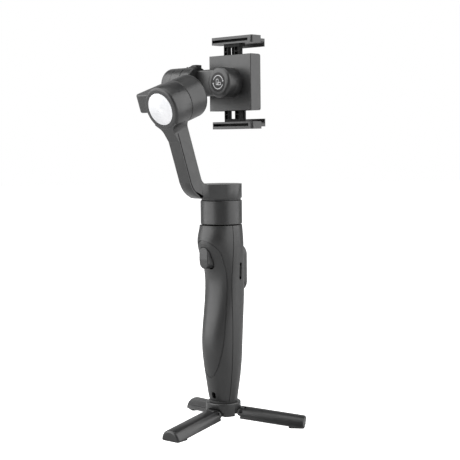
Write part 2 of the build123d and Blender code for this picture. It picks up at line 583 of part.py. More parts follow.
def slide_columns():
    """Crosspiece and two channelled columns of the upper jaw's slide."""
    columns = block((-7.2, 12.2), (RACK_BACK, -18.2), (JAW_UNDERSIDE - 2.7, JAW_UNDERSIDE))
    for low_x, high_x in ((-7.2, -0.9), (7.1, 12.2)):
        column = block((low_x, high_x), (-22.6, -18.2), (SLIDE_LOW, JAW_UNDERSIDE - 2))
        for z_range in ((SLIDE_LOW + 2, 329.5), (330.4, 340.0), (340.9, JAW_UNDERSIDE - 2.7)):
            column -= block((low_x + 0.8, high_x - 0.8), (-20.2, -18), z_range)
        columns += column
    return columns


def jaw_slides():
    """Black slides of both jaws. Their racks face each other across the pinion."""
    columns = slide_columns()
    toothed = rack(301.0, JAW_UNDERSIDE - 2)
    below = columns.mirror(Plane.XY.offset(AXES_HEIGHT))
    return columns + toothed, below + turned_about_swivel(toothed)


def upper_jaw():
    """Jaw bar with its tongue over the phone's edge and a lip in front of its screen."""
    bar = block((-24.5, 26.4), (-28.8, -15.8), (JAW_UNDERSIDE, JAW_TOP))
    for side, rounding in ((0, 1.2), (-1, 2.2)):
        bar = fillet(bar.edges().filter_by(Axis.Z).group_by(Axis.Y)[side], rounding)
    bar -= block((-19.6, 24.4), (-22.5, -15), (JAW_UNDERSIDE + 1.6, JAW_TOP - 2.4))
    tongue_low = JAW_UNDERSIDE + 1.8
    tongue = block((-19, 19), (-40, -28), (tongue_low, tongue_low + 2.7))
    lip = block((-19, 19), (-40, -38.5), (JAW_UNDERSIDE - 2.6, tongue_low + 2.7))
    hook = tongue + lip
    hook = fillet(hook.edges().filter_by(Axis.Z).group_by(Axis.Y)[0], 1.0)
    return bar + hook


def upper_jaw_pad():
    low = AXES_HEIGHT + PHONE_HALF_HEIGHT
    pad = block((-18.5, 18.5), (-38.4, -28.8), (low, JAW_UNDERSIDE + 1.8))
    return fillet(pad.edges().filter_by(Axis.Z), 0.8)


def turned_about_swivel(solid):
    """The same piece for the opposite jaw, half a turn round the swivel axis."""
    return Pos(0, 0, AXES_HEIGHT) * Rot(0, 180, 0) * Pos(0, 0, -AXES_HEIGHT) * solid


# ---------------------------------------------------------------- tripod

def leg_frame(angle):
    """x outwards along the leg, y across it, z up, origin on the handle axis at the floor."""
    out = Vector(cos(radians(angle)), sin(radians(angle)), 0)
    return Plane((0, 0, 0), x_dir=out, z_dir=(0, 0, 1))


def leg_section(margin=0.0):
    """Arched cross-section of a leg, flat side down, grown by a margin."""
    half, top = LEG_HALF_WIDTH + margin, LEG_THICKNESS + margin
    return make_face([
        Line((-half, 1.0), (-half, 0)),
        Line((-half, 0), (half, 0)),
        Line((half, 0), (half, 1.0)),
        ThreePointArc((half, 1.0), (0, top), (-half, 1.0)),
    ])


def on_leg_pivot(solid):
    """Moves a solid made about a level leg's pivot to its place on the sloping leg."""
    return Pos(LEG_PIVOT_RADIUS, 0, LEG_PIVOT_HEIGHT) * Rot(0, degrees(LEG_SLOPE), 0) * solid


def leg_shape():
    """One open leg in its own frame, sloping down to its foot, forked at its pivot."""
    length = (LEG_TIP - LEG_PIVOT_RADIUS) / cos(LEG_SLOPE)
    beam = extrude(Plane.YZ * leg_section(), length)
    tip = beam.faces().sort_by(Axis.X)[-1].edges().filter_by(GeomType.CIRCLE)
    beam = Pos(0, 0, -LEG_UNDERSIDE) * fillet(tip, 2.4)
    arch = Pos(-5, 0, -LEG_UNDERSIDE) * extrude(Plane.YZ * leg_section(), 10)
    knuckle = arch & Rot(90, 0, 0) * Cylinder(LEG_THICKNESS - LEG_UNDERSIDE, 30)
    leg = beam + knuckle
    leg -= block((-8, 3.9), (-LUG_HALF_WIDTH - 0.25, LUG_HALF_WIDTH + 0.25), (-8, 8))
    leg -= Rot(90, 0, 0) * Cylinder(PIN_RADIUS + RUNNING_GAP, 30)
    return on_leg_pivot(leg) & block((0, 100), (-20, 20), (0.3, 40))


def foot_pad_shape(leg):
    """Rubber wedge that fills the space between the sloping leg and the floor."""
    pad = block((PAD_START, LEG_TIP - 1.2), (-9.0, 9.0), (0, 4.5))
    pad = fillet(pad.edges().filter_by(Axis.Z), 2.0)
    return pad - leg


def tripod_hub():
    """Round hub with a lug for each leg's pin, cut away below for the folding legs."""
    hub = drum(HUB_RADIUS, HUB_LOW, HUB_HIGH, UPRIGHT, 0.5, 1.2)
    pin_place = Pos(LEG_PIVOT_RADIUS, 0, LEG_PIVOT_HEIGHT) * Rot(90, 0, 0)
    side = LEG_HALF_WIDTH + 0.3
    below = block((LEG_PIVOT_RADIUS - LEG_UNDERSIDE - 0.3, 30), (-side, side),
                  (0, LEG_PIVOT_HEIGHT))
    room = below + pin_place * Cylinder(LEG_THICKNESS - LEG_UNDERSIDE + 0.3, 2 * side)
    lug = block((LEG_PIVOT_RADIUS - 8, LEG_PIVOT_RADIUS), (-LUG_HALF_WIDTH, LUG_HALF_WIDTH),
                (LEG_PIVOT_HEIGHT - LUG_RADIUS, LEG_PIVOT_HEIGHT + LUG_RADIUS))
    lug += pin_place * Cylinder(LUG_RADIUS, 2 * LUG_HALF_WIDTH)
    for angle in LEG_ANGLES:
        hub -= leg_frame(angle).location * room
    for angle in LEG_ANGLES:
        hub += leg_frame(angle).location * lug
    for angle in LEG_ANGLES:
        hub -= leg_frame(angle).location * pin_place * Cylinder(PIN_RADIUS, 20)
    return hub - rod(STUD_RADIUS, 10, 30)


def leg_pins():
    pins = []
    for angle in LEG_ANGLES:
        centre = leg_frame(angle) * Pos(LEG_PIVOT_RADIUS, 0, LEG_PIVOT_HEIGHT)
        pins.append(centre * Rot(90, 0, 0) * Cylinder(PIN_RADIUS, 13.6))
    return Compound(pins)


def tripod_stud():
    return rod(STUD_RADIUS, HUB_LOW + 2, 32.0)


# ---------------------------------------------------------------- assembly

def build_parts():
    parts = {}
    parts["front_grip_shell"], parts["rear_grip_shell"] = grip_shells()
    parts["control_panel"] = control_panel()
    parts["control_board"] = control_board()
    parts["base_cap"] = base_cap()
    parts["thread_insert"] = tube(5.0, STUD_RADIUS, GRIP_LOW, 34.2)
    parts["battery_cell"] = drum(9.15, 36.0, 101.0, UPRIGHT, 0.6, 0.6)
    parts["pole_sleeve"] = pole_tube(0)
    parts["trigger_pin"] = trigger_pin()
    parts["trigger"] = trigger()
    parts["joystick_ring"] = joystick_ring()
    parts["joystick_cap"] = joystick_cap()
    parts["record_button"] = push_button(RECORD_RADIUS, RECORD_HEIGHT)
    parts["mode_button"] = push_button(MODE_RADIUS, MODE_HEIGHT)
    parts["zoom_slider"] = zoom_slider()
    for stage in (1, 2, 3):
        parts[f"pole_stage_{stage}"] = pole_tube(stage)
    parts["pan_motor_housing"] = pan_motor_housing()
    motors = (
        ("pan", PAN_MOTOR_FRAME, PAN_CAVITY, PAN_REACH),
        ("roll", ROLL_MOTOR_FRAME, ROLL_CAVITY, ROLL_REACH),
        ("tilt", TILT_MOTOR_FRAME, TILT_CAVITY, TILT_REACH),
    )
    for name, frame, cavity, reach in motors:
        pieces = motor_pieces(frame, cavity, reach)
        for piece_name, piece in zip(("stator", "bearings", "shaft", "magnet_ring"), pieces):
            parts[f"{name}_{piece_name}"] = piece
    parts["pan_arm"], parts["pan_arm_cover"] = pan_arm_and_cover()
    parts["roll_motor_disc"] = roll_motor_disc()
    parts["roll_arm"] = roll_arm()
    parts["tilt_end_cap"] = tilt_end_cap()
    parts["tilt_arm"] = tilt_arm()
    parts["travel_stop"] = travel_stop()
    parts["swivel_badge"] = drum(8.6, 1.3, BOSS_FRONT, SWIVEL_FRAME, 0, 0.2)
    parts["clamp_frame"] = clamp_frame()
    parts["swivel_pin"] = swivel_pin()
    parts["clamp_back_plate"] = clamp_back_plate()
    parts["clamp_back_pad"] = clamp_back_pad()
    parts["sync_pinion"] = pinion()
    for name, piece in (("jaw", upper_jaw()), ("jaw_pad", upper_jaw_pad())):
        parts[f"upper_{name}"] = piece
        parts[f"lower_{name}"] = piece.mirror(Plane.XY.offset(AXES_HEIGHT))
    parts["upper_slide"], parts["lower_slide"] = jaw_slides()
    parts["tripod_hub"] = tripod_hub()
    parts["tripod_stud"] = tripod_stud()
    parts["hub_gasket"] = tube(12.6, STUD_RADIUS + 0.2, HUB_HIGH, GRIP_LOW)
    parts["leg_pins"] = leg_pins()
    leg = leg_shape()
    pad = foot_pad_shape(leg)
    for number, angle in enumerate(LEG_ANGLES, start=1):
        parts[f"tripod_leg_{number}"] = leg_frame(angle).location * leg
        parts[f"foot_pad_{number}"] = leg_frame(angle).location * pad
    return parts


def export_parts():
    os.makedirs("parts", exist_ok=True)
    shift = Pos(*FRAME_SHIFT, 0)
    for name, piece in build_parts().items():
        placed = shift * piece
        placed.label = name
        export_step(placed, f"parts/{name}.step")


export_parts()
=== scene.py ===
import json
import math

import bmesh
import bpy
from mathutils import Matrix, Vector


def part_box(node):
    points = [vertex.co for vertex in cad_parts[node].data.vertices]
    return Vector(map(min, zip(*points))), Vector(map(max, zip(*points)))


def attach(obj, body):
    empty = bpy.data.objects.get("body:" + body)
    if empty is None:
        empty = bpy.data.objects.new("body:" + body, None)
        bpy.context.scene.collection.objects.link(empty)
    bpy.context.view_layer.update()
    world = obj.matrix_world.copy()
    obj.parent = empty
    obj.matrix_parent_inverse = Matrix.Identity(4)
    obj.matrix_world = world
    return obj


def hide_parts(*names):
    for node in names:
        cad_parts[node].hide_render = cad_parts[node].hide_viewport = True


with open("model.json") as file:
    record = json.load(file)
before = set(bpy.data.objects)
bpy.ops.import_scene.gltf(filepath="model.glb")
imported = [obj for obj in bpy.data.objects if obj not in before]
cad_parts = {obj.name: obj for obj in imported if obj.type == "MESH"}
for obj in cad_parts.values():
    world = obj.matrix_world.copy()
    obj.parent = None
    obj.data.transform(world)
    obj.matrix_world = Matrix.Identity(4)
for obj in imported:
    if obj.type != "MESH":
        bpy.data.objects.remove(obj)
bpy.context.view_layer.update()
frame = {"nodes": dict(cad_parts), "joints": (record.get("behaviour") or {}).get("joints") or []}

MM = 0.001
FILM = 0.03             # thickness of printed marks, in millimetres
NODES = frame["nodes"]
SCENE = bpy.context.scene


# ---------------------------------------------------------------- places in the frame

def joint_point(name):
    """Where a hinge turns, in metres."""
    return Vector(next(j["pos_m"] for j in frame["joints"] if j["name"] == name))


CENTRE = joint_point("tilt")            # pan, roll and tilt axes meet here
AXIS_X, AXIS_Y = CENTRE.x, CENTRE.y     # the handle stands on this upright line


# ---------------------------------------------------------------- materials

def grey(value, tint=0.0):
    """Linear colour of a neutral plastic; a positive tint leans to blue."""
    return (value * (1 - tint), value, value * (1 + tint), 1.0)


class Shader:
    """Small builder round one material's node tree."""

    def __init__(self, name):
        self.material = bpy.data.materials.new(name)
        self.material.use_nodes = True
        self.tree = self.material.node_tree
        self.bsdf = self.tree.nodes["Principled BSDF"]
        self.coords = self.tree.nodes.new("ShaderNodeTexCoord").outputs["Object"]

    def link(self, source, target):
        self.tree.links.new(source, target)

    def noise(self, scale, detail=2.0, roughness=0.5, stretch=None):
        node = self.tree.nodes.new("ShaderNodeTexNoise")
        node.inputs["Scale"].default_value = scale
        node.inputs["Detail"].default_value = detail
        node.inputs["Roughness"].default_value = roughness
        source = self.coords
        if stretch:
            mapping = self.tree.nodes.new("ShaderNodeMapping")
            mapping.inputs["Scale"].default_value = stretch
            self.link(source, mapping.inputs["Vector"])
            source = mapping.outputs["Vector"]
        self.link(source, node.inputs["Vector"])
        return node.outputs["Fac"]

    def spread(self, source, low, high, from_low=0.3, from_high=0.7):
        """Noise mapped to a range of values."""
        node = self.tree.nodes.new("ShaderNodeMapRange")
        for key, value in (("From Min", from_low), ("From Max", from_high),
                           ("To Min", low), ("To Max", high)):
            node.inputs[key].default_value = value
        self.link(source, node.inputs["Value"])
        return node.outputs["Result"]

    def math(self, operation, first, second=0.5):
        node = self.tree.nodes.new("ShaderNodeMath")
        node.operation = operation
        for socket, value in zip(node.inputs, (first, second)):
            if isinstance(value, (int, float)):
                socket.default_value = value
            else:
                self.link(value, socket)
        return node.outputs["Value"]

    def mix(self, factor, first, second):
        node = self.tree.nodes.new("ShaderNodeMix")
        node.data_type = "RGBA"
        for key, value in (("Factor", factor), ("A", first), ("B", second)):
            sockets = [s for s in node.inputs if s.name == key and s.enabled]
            if isinstance(value, (int, float, tuple)):
                sockets[0].default_value = value
            else:
                self.link(value, sockets[0])
        return next(s for s in node.outputs if s.enabled)

    def bump(self, height, strength, distance, below=None):
        node = self.tree.nodes.new("ShaderNodeBump")
        node.inputs["Strength"].default_value = strength
        node.inputs["Distance"].default_value = distance
        self.link(height, node.inputs["Height"])
        if below:
            self.link(below, node.inputs["Normal"])
        return node.outputs["Normal"]

    def finish(self, colour, roughness, normal=None, **values):
        self.link(colour, self.bsdf.inputs["Base Color"])
        self.link(roughness, self.bsdf.inputs["Roughness"])
        if normal:
            self.link(normal, self.bsdf.inputs["Normal"])
        for key, value in values.items():
            self.bsdf.inputs[key.replace("_", " ")].default_value = value
        return self.material


def moulded(name, tone, roughness, grain=1500.0, depth=0.00006, specular=0.5):
    """Spark-textured moulded plastic: even tone with faint clouding, fine grain in the gloss."""
    s = Shader(name)
    clouds = s.noise(45, 3)
    colour = s.mix(s.spread(clouds, 0, 1), grey(tone * 0.93, 0.01), grey(tone * 1.07, 0.015))
    specks = s.noise(grain * 1.7, 1)
    colour = s.mix(s.spread(specks, 0.0, 0.22, 0.55, 0.8), colour, grey(tone * 1.5, 0.01))
    gloss = s.spread(s.noise(160, 2), roughness - 0.035, roughness + 0.035)
    normal = s.bump(s.noise(grain, 3, 0.6), 0.35, depth)
    return s.finish(colour, gloss, normal, Specular_IOR_Level=specular)


def rubber(name, tone):
    s = Shader(name)
    colour = s.mix(s.spread(s.noise(70, 4), 0, 1), grey(tone * 0.85), grey(tone * 1.2))
    gloss = s.spread(s.noise(300, 2), 0.66, 0.8)
    normal = s.bump(s.noise(900, 4, 0.7), 0.4, 0.00008)
    return s.finish(colour, gloss, normal, Specular_IOR_Level=0.35, Sheen_Weight=0.15)


def metal(name, colour, roughness, scratch=(1, 1, 1), tint=0.1):
    """Machined or ground metal with fine marks along one direction."""
    s = Shader(name)
    marks = s.noise(1400, 3, 0.6, scratch)
    shade = tuple(c * (1 - tint) for c in colour) + (1.0,)
    mixed = s.mix(s.spread(marks, 0, 1), shade, tuple(colour) + (1.0,))
    gloss = s.spread(marks, roughness - 0.05, roughness + 0.07)
    normal = s.bump(marks, 0.12, 0.00003)
    return s.finish(mixed, gloss, normal, Metallic=1.0)


def spun_disc(name, centre, across, up):
    """Satin disc spun on a lathe: painted sheen in two opposite wedges from the middle, set in its
    colour; fine rings in the surface.
    """
    s = Shader(name)
    tree = s.tree

    def along(direction):
        offset = tree.nodes.new("ShaderNodeVectorMath")
        offset.operation = "SUBTRACT"
        s.link(s.coords, offset.inputs[0])
        offset.inputs[1].default_value = centre
        dot = tree.nodes.new("ShaderNodeVectorMath")
        dot.operation = "DOT_PRODUCT"
        s.link(offset.outputs["Vector"], dot.inputs[0])
        dot.inputs[1].default_value = direction
        return dot.outputs["Value"]

    painted_sheen_turn = 0.9          # where the brightest fan of painted sheen lies, in radians
    x, y = along(across), along(up)
    angle = s.math("ARCTAN2", y, x)
    radius = s.math("SQRT", s.math("ADD", s.math("MULTIPLY", x, x), s.math("MULTIPLY", y, y)))
    # painted sheen: the colour is lighter in two opposite wedges, fixed in angle round the disc
    painted_sheen_fans = s.math("COSINE", s.math("MULTIPLY", s.math("ADD", angle, -painted_sheen_turn), 2.0))
    rings = tree.nodes.new("ShaderNodeTexNoise")
    rings.noise_dimensions = "1D"
    rings.inputs["Scale"].default_value = 9000
    rings.inputs["Detail"].default_value = 2
    s.link(radius, rings.inputs["W"])
    sheen = s.spread(painted_sheen_fans, 0, 1, -1, 1)
    colour = s.mix(sheen, (0.52, 0.525, 0.535, 1), (0.58, 0.58, 0.59, 1))
    gloss = s.spread(rings.outputs["Fac"], 0.46, 0.56)
    normal = s.bump(rings.outputs["Fac"], 0.2, 0.00002)
    return s.finish(colour, gloss, normal, Metallic=0.6)


def painted(name, colour, roughness=0.5):
    """Pad-printed or lacquered mark with a slightly uneven film."""
    s = Shader(name)
    shade = tuple(c * 0.9 for c in colour[:3]) + (1.0,)
    film = s.noise(700, 2)
    mixed = s.mix(s.spread(film, 0, 1), shade, tuple(colour[:3]) + (1.0,))
    return s.finish(mixed, s.spread(film, roughness - 0.05, roughness + 0.05))


def lens(name, colour):
    s = Shader(name)
    bright = tuple(c * 1.1 for c in colour[:3]) + (1,)
    mixed = s.mix(s.spread(s.noise(500, 2), 0, 1), colour, bright)
    return s.finish(mixed, s.spread(s.noise(300, 1), 0.12, 0.2), Transmission_Weight=0.4,
                    Coat_Weight=0.5)


ROLL_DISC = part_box("roll_motor_disc")
DISC_MIDDLE = (ROLL_DISC[0] + ROLL_DISC[1]) / 2
ROLL_AXIS = Vector(next(j["axis"] for j in frame["joints"] if j["name"] == "roll"))

BODY = moulded("body_plastic", 0.012, 0.42)
ARM = moulded("arm_plastic", 0.013, 0.37)
LEG = moulded("leg_plastic", 0.010, 0.34)
BLACK = moulded("black_plastic", 0.004, 0.6, 900.0, 0.00006, 0.15)
KEYS = moulded("key_plastic", 0.014, 0.36, 2200.0, 0.00003)
RUBBER = rubber("soft_rubber", 0.016)
GASKET = rubber("gasket_rubber", 0.014)
STEEL = metal("ground_steel", (0.56, 0.56, 0.57), 0.3)
SHAFT = metal("shaft_steel", (0.62, 0.62, 0.63), 0.22)
CORE = metal("stator_laminations", (0.30, 0.27, 0.25), 0.42, (1, 1, 6))
MAGNET = metal("rotor_ring", (0.035, 0.035, 0.036), 0.45)
BRASS = metal("turned_brass", (0.75, 0.55, 0.26), 0.28, (1, 1, 5))
POLE = metal("pole_aluminium", (0.10, 0.10, 0.105), 0.34, (6, 6, 0.4))
DISC = spun_disc("spun_disc", DISC_MIDDLE, (1, 0, 0), Vector((1, 0, 0)).cross(ROLL_AXIS))
BOARD = moulded("board_mask", 0.03, 0.3, 600.0)
CELL = painted("cell_wrap", (0.05, 0.16, 0.42), 0.35)
WHITE = painted("white_print", (0.5, 0.5, 0.51), 0.55)
RED = painted("red_print", (0.55, 0.03, 0.025), 0.45)
LENS = lens("light_lens", (0.55, 0.62, 0.6, 1.0))
BADGE = moulded("badge_plastic", 0.005, 0.5, 900.0, 0.00006, 0.3)

FINISHES = {
    BODY: ("front_grip_shell", "rear_grip_shell", "control_panel", "base_cap", "trigger"),
    ARM: ("pan_motor_housing", "pan_arm", "pan_arm_cover", "roll_arm", "tilt_end_cap",
          "tilt_arm", "clamp_frame", "clamp_back_plate", "upper_jaw", "lower_jaw"),
    LEG: ("tripod_hub", "tripod_leg_1", "tripod_leg_2", "tripod_leg_3"),
    BLACK: ("zoom_slider", "pole_sleeve", "upper_slide", "lower_slide", "sync_pinion",
            "joystick_ring"),
    KEYS: ("joystick_cap", "record_button", "mode_button"),
    RUBBER: ("travel_stop", "clamp_back_pad", "upper_jaw_pad", "lower_jaw_pad",
             "foot_pad_1", "foot_pad_2", "foot_pad_3"),
    BADGE: ("swivel_badge",),
    GASKET: ("hub_gasket",),
    DISC: ("roll_motor_disc",),
    STEEL: ("trigger_pin", "tripod_stud", "swivel_pin", "pan_bearings",
            "roll_bearings", "tilt_bearings"),
    SHAFT: ("pan_shaft", "roll_shaft", "tilt_shaft"),
    CORE: ("pan_stator", "roll_stator", "tilt_stator"),
    MAGNET: ("leg_pins", "pan_magnet_ring", "roll_magnet_ring", "tilt_magnet_ring"),
    BRASS: ("thread_insert",),
    POLE: ("pole_stage_1", "pole_stage_2", "pole_stage_3"),
    BOARD: ("control_board",),
    CELL: ("battery_cell",),
}
for material, names in FINISHES.items():
    for name in names:
        NODES[name].data.materials.clear()
        NODES[name].data.materials.append(material)


# ---------------------------------------------------------------- softened edges

def soften(name, width):
    """Rounds the sharp edges of a CAD node a little, as moulding leaves them."""
    node = NODES[name]
    weld = node.modifiers.new("weld", "WELD")
    weld.merge_threshold = 0.000005
    bevel = node.modifiers.new("bevel", "BEVEL")
    bevel.width = width * MM
    bevel.segments = 2
    bevel.limit_method = "ANGLE"
    bevel.angle_limit = math.radians(35)
    bevel.harden_normals = True
    bevel.miter_outer = "MITER_ARC"


SOFT_EDGES = {
    0.35: ("clamp_frame", "clamp_back_plate", "upper_jaw", "lower_jaw"),
    0.25: ("pan_arm", "pan_arm_cover", "tripod_leg_1", "tripod_leg_2", "tripod_leg_3",
           "tripod_hub", "travel_stop"),
    0.15: ("upper_slide", "lower_slide", "zoom_slider", "control_panel"),
}
for width, names in SOFT_EDGES.items():
    for name in names:
        soften(name, width)


# ---------------------------------------------------------------- added pieces

def facing(origin, across, up):
    """Matrix whose x runs across a face, y up it and z out of it."""
    across, up = Vector(across).normalized(), Vector(up).normalized()
    out = across.cross(up)
    turn = Matrix((across, up, out)).transposed().to_4x4()
    return Matrix.Translation(Vector(origin)) @ turn


def new_piece(name, bm, material, body, place=None):
    """Makes a mesh object from bmesh work done in millimetres and lets it ride on a body."""
    bmesh.ops.recalc_face_normals(bm, faces=bm.faces)
    bmesh.ops.scale(bm, vec=(MM, MM, MM), verts=bm.verts)
    if place:
        bmesh.ops.transform(bm, matrix=place, verts=bm.verts)
    mesh = bpy.data.meshes.new(name)
    bm.to_mesh(mesh)
    bm.free()
    mesh.materials.append(material)
    piece = bpy.data.objects.new(name, mesh)
    SCENE.collection.objects.link(piece)
    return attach(piece, body)


def loop_at(bm, points, height):
    return [bm.verts.new((x, y, height)) for x, y in points]


def wall(bm, low, high):
    for i in range(len(low)):
        j = (i + 1) % len(low)
        bm.faces.new((low[i], low[j], high[j], high[i]))


def plate(bm, points, low, high):
    """Solid plate over a polygon."""
    bottom, top = loop_at(bm, points, low), loop_at(bm, points, high)
    wall(bm, bottom, top)
    bm.faces.new(bottom)
    bm.faces.new(top)


def frame_band(bm, outer, inner, low, high):
    """Solid band between two loops with the same number of points."""
    loops = [loop_at(bm, pts, z) for z in (low, high) for pts in (outer, inner)]
    wall(bm, loops[0], loops[2])
    wall(bm, loops[3], loops[1])
    wall(bm, loops[2], loops[3])
    wall(bm, loops[1], loops[0])


def circle_points(radius, count, start=0.0, sweep=360.0, x=0.0, y=0.0):
    last = count if sweep == 360.0 else count - 1
    angles = (math.radians(start + sweep * i / last) for i in range(count))
    return [(x + radius * math.cos(a), y + radius * math.sin(a)) for a in angles]


def rounded_rectangle(half_x, half_y, radius, x=0.0, y=0.0):
    points = []
    for side_x, side_y, start in ((1, 1, 0), (-1, 1, 90), (-1, -1, 180), (1, -1, 270)):
        corner = (x + side_x * (half_x - radius), y + side_y * (half_y - radius))
        points += circle_points(radius, 5, start, 90.0, *corner)
    return points


def turned_profile(bm, profile, segments=48):
    """Solid of revolution about z from (radius, height) points; the ends close on the axis."""
    rings = [loop_at(bm, circle_points(r, segments), z) for r, z in profile]
    for low, high in zip(rings, rings[1:]):
        wall(bm, low, high)
    bm.faces.new(rings[0])
    bm.faces.new(rings[-1])


def smooth(piece, angle=40):
    piece.data.shade_smooth()
    piece.data.set_sharp_from_angle(angle=math.radians(angle))
    return piece


def swivel_symbol():
    """Printed symbol for turning the clamp: two curved arrows round two small frames."""
    low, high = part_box("swivel_badge")
    centre = ((low.x + high.x) / 2, high.y, (low.z + high.z) / 2)
    place = facing(centre, (-1, 0, 0), (0, 0, 1))
    bm = bmesh.new()
    radius, half, barb, sweep = 6.0, 0.29, 1.15, 148.0
    for start in (10.0, 190.0):
        outer = circle_points(radius + half, 40, start, sweep)
        inner = circle_points(radius - half, 40, start, sweep)
        plate(bm, outer + inner[::-1], 0, FILM)
        tip = math.radians(start - 9)
        head = [(math.cos(tip) * radius, math.sin(tip) * radius)]
        root = math.radians(start + 1.5)
        head += [(math.cos(root) * r, math.sin(root) * r) for r in (radius + barb, radius - barb)]
        plate(bm, head, 0, FILM)
    frame_band(bm, rounded_rectangle(1.5, 2.6, 0.6, -0.9, 0.3),
               rounded_rectangle(1.0, 2.1, 0.3, -0.9, 0.3), 0, FILM)
    frame_band(bm, rounded_rectangle(2.1, 1.3, 0.5, 1.4, -1.3),
               rounded_rectangle(1.65, 0.85, 0.25, 1.4, -1.3), FILM, 2 * FILM)
    new_piece("swivel_symbol", bm, WHITE, "tilt_arm", place)


def painted_seam_shade():
    """Painted shade of the seam: thin black strips along both flanks of the pan arm, where its
    front cover meets it.

    It follows the arm's outer outline: level above the pan motor, round one bend, then straight
    up to below the roll motor. Heights are above the floor, the rest is from the handle's axis.
    """
    slope, half_width = 19, 6.6         # degrees the roll axis drops; of the arm
    arm_front, arm_floor, bend_radius = 72, 208.4, 22
    start, end = 32, 24                 # from the axis; below the roll axis, along the arm
    axes_height = 312
    sine, cosine = math.sin(math.radians(slope)), math.cos(math.radians(slope))
    turn = 90 - slope

    def line(inset):
        front, floor, bend = arm_front - inset, arm_floor + inset, bend_radius - inset
        corner = front * cosine + (floor - axes_height + front * sine) * sine / cosine
        middle = corner - bend * math.tan(math.radians(turn / 2))
        arc = [(middle + y, floor + bend + z) for y, z in circle_points(bend, 24, -90, turn)]
        top = (front * cosine - end * sine, axes_height - front * sine - end * cosine)
        return [(start, floor)] + arc + [top]

    bm = bmesh.new()
    outline = line(0.9) + line(1.9)[::-1]
    # black strips painted on both flanks as the shade in the seam between cover and arm
    for side in (-half_width, half_width):
        plate(bm, outline, side - FILM, side + FILM)
    place = facing((AXIS_X, AXIS_Y, 0), (0, 1, 0), (0, 0, 1))
    new_piece("painted_seam_shade", bm, BLACK, "pan_arm", place)


def paint_slot_shade():
    """Painted shade in the slot along the front of each jaw: a thin black liner over its floor,
    back wall and roof.
    """
    thick, deep, tall, lip = 0.25, 6.7, 2.6, 0.3
    near_end, both_ends, upper_drop, lower_rise = 4.9, 6.9, 5.0, 2.4    # from the jaw's box
    outline = [(lip, 0), (deep, 0), (deep, tall), (lip, tall), (lip, tall - thick),
               (deep - thick, tall - thick), (deep - thick, thick), (lip, thick)]
    for jaw in ("upper_jaw", "lower_jaw"):
        low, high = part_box(jaw)
        bottom = high.z - upper_drop * MM if jaw == "upper_jaw" else low.z + lower_rise * MM
        place = facing((low.x + near_end * MM, high.y, bottom), (0, -1, 0), (0, 0, 1))
        bm = bmesh.new()
        plate(bm, outline, -((high.x - low.x) / MM - both_ends), 0)
        # black liner painted into the slot as its shade
        new_piece(jaw + "_shade_liner", bm, BLACK, jaw, place)


def status_lenses():
    """Three small domed lenses near the top of the control panel."""
    low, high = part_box("control_panel")
    spacing, below_top = 2.6, 3.9
    for number, step in enumerate((-1, 0, 1), start=1):
        x = (low.x + high.x) / 2 + step * spacing * MM
        centre = (x, low.y, high.z - below_top * MM)
        bm = bmesh.new()
        profile = [(0.62, -0.2), (0.62, 0.06), (0.54, 0.15), (0.36, 0.22), (0.15, 0.25)]
        turned_profile(bm, profile, 24)
        place = facing(centre, (1, 0, 0), (0, 0, 1))
        lens_piece = new_piece(f"status_lens_{number}", bm, LENS, "handle", place)
        smooth(lens_piece)


def button_face(low, high):
    """Frame in the middle of a button's outer face, for the mark printed on it."""
    middle = ((low.x + high.x) / 2, low.y, (low.z + high.z) / 2)
    return facing(middle, (1, 0, 0), (0, 0, 1))


def button_marks():
    """Printed ring and dot on the record button, small frame on the mode button."""
    low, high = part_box("record_button")
    bm = bmesh.new()
    plate(bm, circle_points(1.0, 32), 0, FILM)
    frame_band(bm, circle_points(1.75, 40), circle_points(1.45, 40), 0, FILM)
    place = button_face(low, high)
    new_piece("record_mark", bm, RED, "record_button", place)
    low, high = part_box("mode_button")
    bm = bmesh.new()
    outer, inner = rounded_rectangle(1.0, 0.75, 0.25), rounded_rectangle(0.75, 0.5, 0.15)
    frame_band(bm, outer, inner, 0, FILM)
    place = button_face(low, high)
    new_piece("mode_mark", bm, WHITE, "mode_button", place)


def ribbed_pad(node, body, outwards, pitch, groove, depth):
    """Rubber pad with grooves along x in its outer face, in place of the plain CAD pad."""
    low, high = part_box(node)
    size = (high - low) / MM
    across = "y" if outwards.z else "z"         # direction in which the grooves follow each other
    span = getattr(size, across)
    thick = abs(size.dot(outwards))
    count = int((span - 2) / pitch)
    margin = (span - (count - 1) * pitch) / 2
    points = [(0, 0), (0, thick)]
    for number in range(count):
        middle = margin + number * pitch
        points += [(middle - groove / 2, thick), (middle - groove / 4, thick - depth),
                   (middle + groove / 4, thick - depth), (middle + groove / 2, thick)]
    points += [(span, thick), (span, 0)]
    bm = bmesh.new()
    plate(bm, points, 0, size.x)
    # x of the profile runs across the grooves, y out of the pad, z along the pad
    start = Vector(low)
    if outwards.x + outwards.y + outwards.z < 0:
        start += Vector((0, 0, size.z * MM)) if outwards.z else Vector((0, size.y * MM, 0))
    axes = (Vector((0, 1, 0)) if outwards.z else Vector((0, 0, 1)), outwards, Vector((1, 0, 0)))
    place = Matrix.Translation(start) @ Matrix(axes).transposed().to_4x4()
    piece = new_piece(node + "_ribbed", bm, RUBBER, body, place)
    rounding = piece.modifiers.new("bevel", "BEVEL")
    rounding.width, rounding.segments = 0.15 * MM, 2
    rounding.limit_method = "ANGLE"
    rounding.angle_limit = math.radians(50)
    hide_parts(node)


